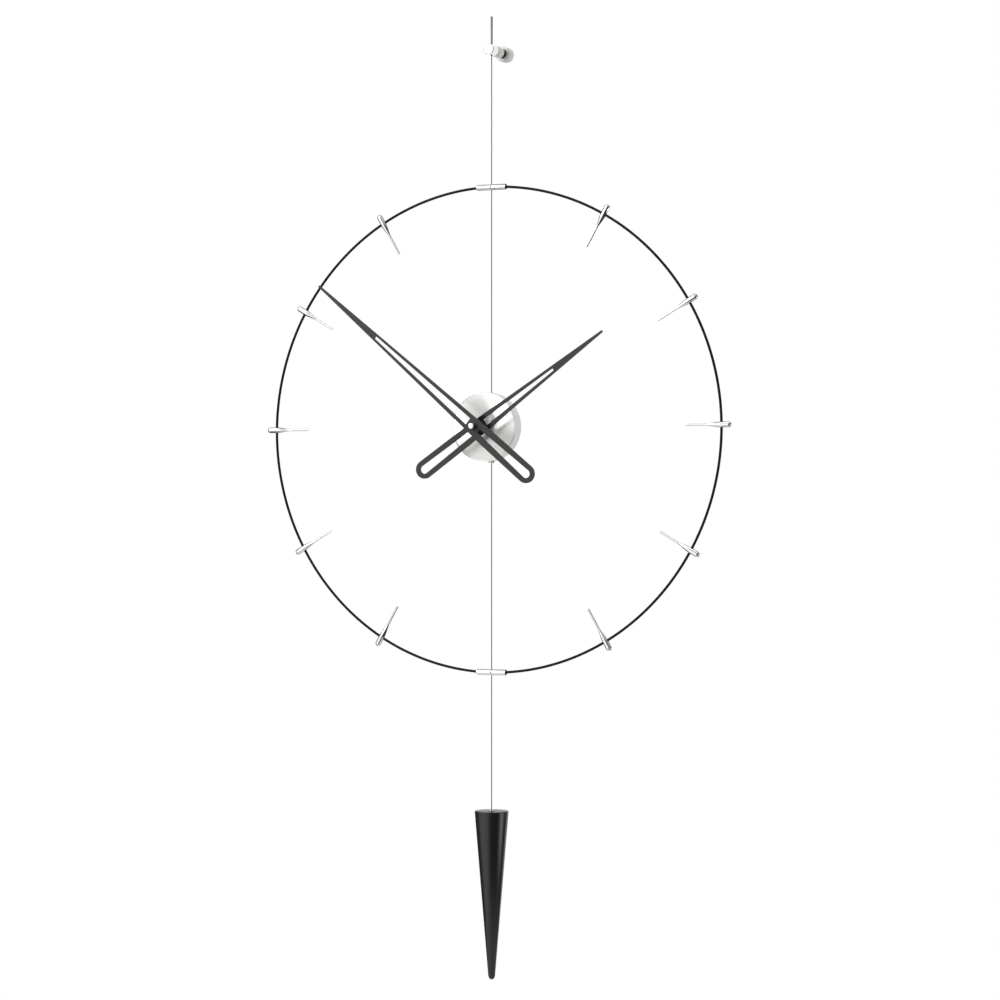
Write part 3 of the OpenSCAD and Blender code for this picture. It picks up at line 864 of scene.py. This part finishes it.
rotor_low, rotor_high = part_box("rotor")
magnet_r = (rotor_high.x - rotor_low.x) / 2
start, rotor_finish = start_finish("rotor_magnet")
point, xyz = place_on(start)
rotor_x, rotor_z = (rotor_low.x + rotor_high.x) / 2, (rotor_low.z + rotor_high.z) / 2
from_rotor = ((xyz[0] - rotor_x) ** 2.0 + (xyz[2] - rotor_z) ** 2.0) ** 0.5
magnet_face = start.node(
    "MapRange", {}, {"Value": from_rotor, 1: magnet_r * 0.55, 2: magnet_r * 0.6, 3: 0.0, 4: 1.0}
)
magnet_grain = grain(start, point, 0.0003, 3.0)
end_finish(
    rotor_finish,
    mixed(start, magnet_face, (0.78, 0.77, 0.72), (0.055, 0.055, 0.06)),
    0.42 + 0.14 * magnet_grain,
    0.6 * magnet_face,
    magnet_grain,
    6e-6,
)
finish_node("rotor", rotor_finish)

start, brass_finish = start_finish("turned_brass")
point, xyz = place_on(start)
brass_lines = turning(start, xyz[1], 0.00018)
brass_cloud = grain(start, point, 0.005, 4.0)
end_finish(
    brass_finish,
    mixed(start, brass_cloud, (0.74, 0.56, 0.27), (0.60, 0.43, 0.19)),
    0.20 + 0.16 * brass_cloud + 0.05 * brass_lines,
    1.0,
    brass_lines,
    2e-6,
)
for node in ("fixing_washer", "fixing_nut", "minute_arbor"):
    finish_node(node, brass_finish)

start, rubber_finish = start_finish("gasket_rubber")
point, xyz = place_on(start)
rubber_grain = grain(start, point, 0.0004, 3.0)
end_finish(
    rubber_finish,
    mixed(start, rubber_grain, (0.018, 0.018, 0.018), (0.030, 0.030, 0.029)),
    0.75 + 0.12 * rubber_grain,
    height=rubber_grain,
    relief=2e-5,
)
finish_node("movement_gasket", rubber_finish)

start, copper_finish = start_finish("coil_wire")
point, xyz = place_on(start)
wire_turns = turning(start, xyz[2], 0.00012)
end_finish(
    copper_finish,
    mixed(start, wire_turns, (0.55, 0.20, 0.07), (0.32, 0.10, 0.03)),
    0.28 + 0.15 * wire_turns,
    0.85,
    wire_turns,
    5e-5,
)
finish_node("coil_winding", copper_finish)

start, board_finish = start_finish("board_green")
point, xyz = place_on(start)
weave = 5200.0
cross_weave = start.maths("SINE", xyz[2] * weave) * start.maths("SINE", xyz[0] * weave)
tracks = start.node(
    "TexBrick",
    {"offset": 0.3},
    {"Vector": point, "Scale": 260.0, "Mortar Size": 0.12, "Color1": (0.0, 0.0, 0.0),
     "Color2": (0.1, 0.1, 0.1), "Mortar": (1.0, 1.0, 1.0)},
)
end_finish(
    board_finish,
    mixed(start, tracks, (0.015, 0.10, 0.04), (0.03, 0.19, 0.08)),
    0.28 + 0.05 * cross_weave,
    height=cross_weave * 0.2 + 0.5,
    relief=1e-5,
)
finish_node("circuit_board", board_finish)
for node in (
    "battery_contact_plus", "battery_contact_minus", "quartz_crystal", "stator",
):
    finish_node(node, steel_finish)

start, cell_finish = start_finish("cell_jacket")
point, xyz = place_on(start)
band_from, button_from = 0.0135, 0.0241
cell_end = start.node(
    "MapRange", {}, {"Value": xyz[0], 1: band_from, 2: band_from + 0.0003, 3: 0.0, 4: 1.0}
)
cell_cloud = grain(start, point, 0.01, 3.0)
cell_tip = start.node(
    "MapRange", {}, {"Value": xyz[0], 1: button_from, 2: button_from + 0.0001, 3: 0.0, 4: 1.0}
)
end_finish(
    cell_finish,
    mixed(
        start,
        cell_tip,
        mixed(start, cell_end, (0.030, 0.031, 0.033), (0.46, 0.30, 0.13)),
        (0.62, 0.61, 0.59),
    ),
    0.24 + 0.10 * cell_cloud,
    cell_tip * 0.9 + cell_end * 0.05,
    cell_cloud,
    4e-6,
)
finish_node("battery", cell_finish)


# --------------------------------------------------------------------------------- the hands
# Both hands are cut from 3 mm aluminium sheet, slotted on both sides of the hub, and coated
# in a matt dark grey. Black hubs space them on the arbor, and a bright cap nut holds the
# minute hand.


def graphite(name, painted_shade_r):
    """The hands' paint finish, with painted shade: within the given radius of the arbor the
    colour is painted as black as the hub, for the shadow that the hub and the parts in front of
    it cast.
    """
    start, material = start_finish(name)
    point, xyz = place_on(start)
    from_arbor = (xyz[0] ** 2.0 + (xyz[2] - axis_z) ** 2.0) ** 0.5
    # Painted shade: near the arbor the colour fades to black, for the shadow that the hub and the
    # parts in front cast on the hand.
    outside_painted_shade = start.node(
        "MapRange",
        {"interpolation_type": "SMOOTHSTEP"},
        {"Value": from_arbor, 1: painted_shade_r * 0.75, 2: painted_shade_r, 3: 0.0, 4: 1.0},
    )
    hand_speck = grain(start, point, 0.0004, 4.0, 0.6)
    hand_cloud = grain(start, point, 0.03, 3.0)
    dark = mixed(start, hand_cloud, (0.022, 0.022, 0.0205), (0.030, 0.0295, 0.028))
    return end_finish(
        material,
        mixed(start, outside_painted_shade, (0.003, 0.003, 0.003), dark),
        0.80 - 0.34 * outside_painted_shade + 0.14 * hand_speck + 0.04 * hand_cloud,
        height=hand_speck,
        relief=1.2e-5,
        Specular_IOR_Level=0.35,
    )


hand_chamfer = 0.00025
# Both hands carry painted shade round the arbor: the hour hand's colour goes black within 21 mm,
# the minute hand's within 6 mm.
finish_node("hour_hand", graphite("hour_graphite", 0.021), hand_chamfer)
finish_node("minute_hand", graphite("minute_graphite", 0.006), hand_chamfer)
for hub in ("hour_hub", "minute_hub"):
    finish_node(hub, rod_finish, 0.0003)
cap_nickel = nickel_finish("cap_nickel", axis=1, polish=0.06)
finish_node("cap_nut", cap_nickel)


# -------------------------------------------------------------------------- the plumb weight
# A solid steel cone, turned to a rounded tip and coated in satin black. The cable's crimped
# collar sits in a hole in its flat top.

cone_low, cone_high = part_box("weight")
cone_r = (cone_high.x - cone_low.x) / 2
cone_l = cone_high.z - cone_low.z
tip_r = 0.0048
collar_r = 0.0035

start, cone_finish = start_finish("cone_black")
point, xyz = place_on(start)
cone_speck = grain(start, point, 0.0006, 4.0, 0.6)
cone_cloud = grain(start, point, 0.045, 3.0)
cone_lines = turning(start, xyz[2], 0.0009)
end_finish(
    cone_finish,
    mixed(start, cone_cloud, (0.008, 0.0077, 0.0079), (0.012, 0.0115, 0.0118)),
    0.25 + 0.08 * cone_speck + 0.05 * cone_cloud,
    height=cone_speck * 0.8 + cone_lines * 0.2,
    relief=1.4e-5,
    Specular_IOR_Level=0.45,
)
tip_turns = 10
collar_depth = 0.018
cone = turned(
    "cone_turned",
    [
        (0, -collar_depth),
        (collar_r, -collar_depth),
        (collar_r, -0.0004),
        (collar_r + 0.0004, 0),
        (cone_r, 0, 0.0009),
        (tip_r + 0.0004, -cone_l + tip_r),
    ]
    + [
        (tip_r * cos(pi / 2 * k / tip_turns), -cone_l + tip_r * (1 - sin(pi / 2 * k / tip_turns)))
        for k in range(1, tip_turns)
    ]
    + [(0, -cone_l)],
    Matrix.Translation((0, cable_y, cone_high.z)),
    cone_finish,
    steps=160,
)
stands_for(cone, "weight", "plumb_weight")
finish_node("weight_collar", collar_nickel, 0.00015)
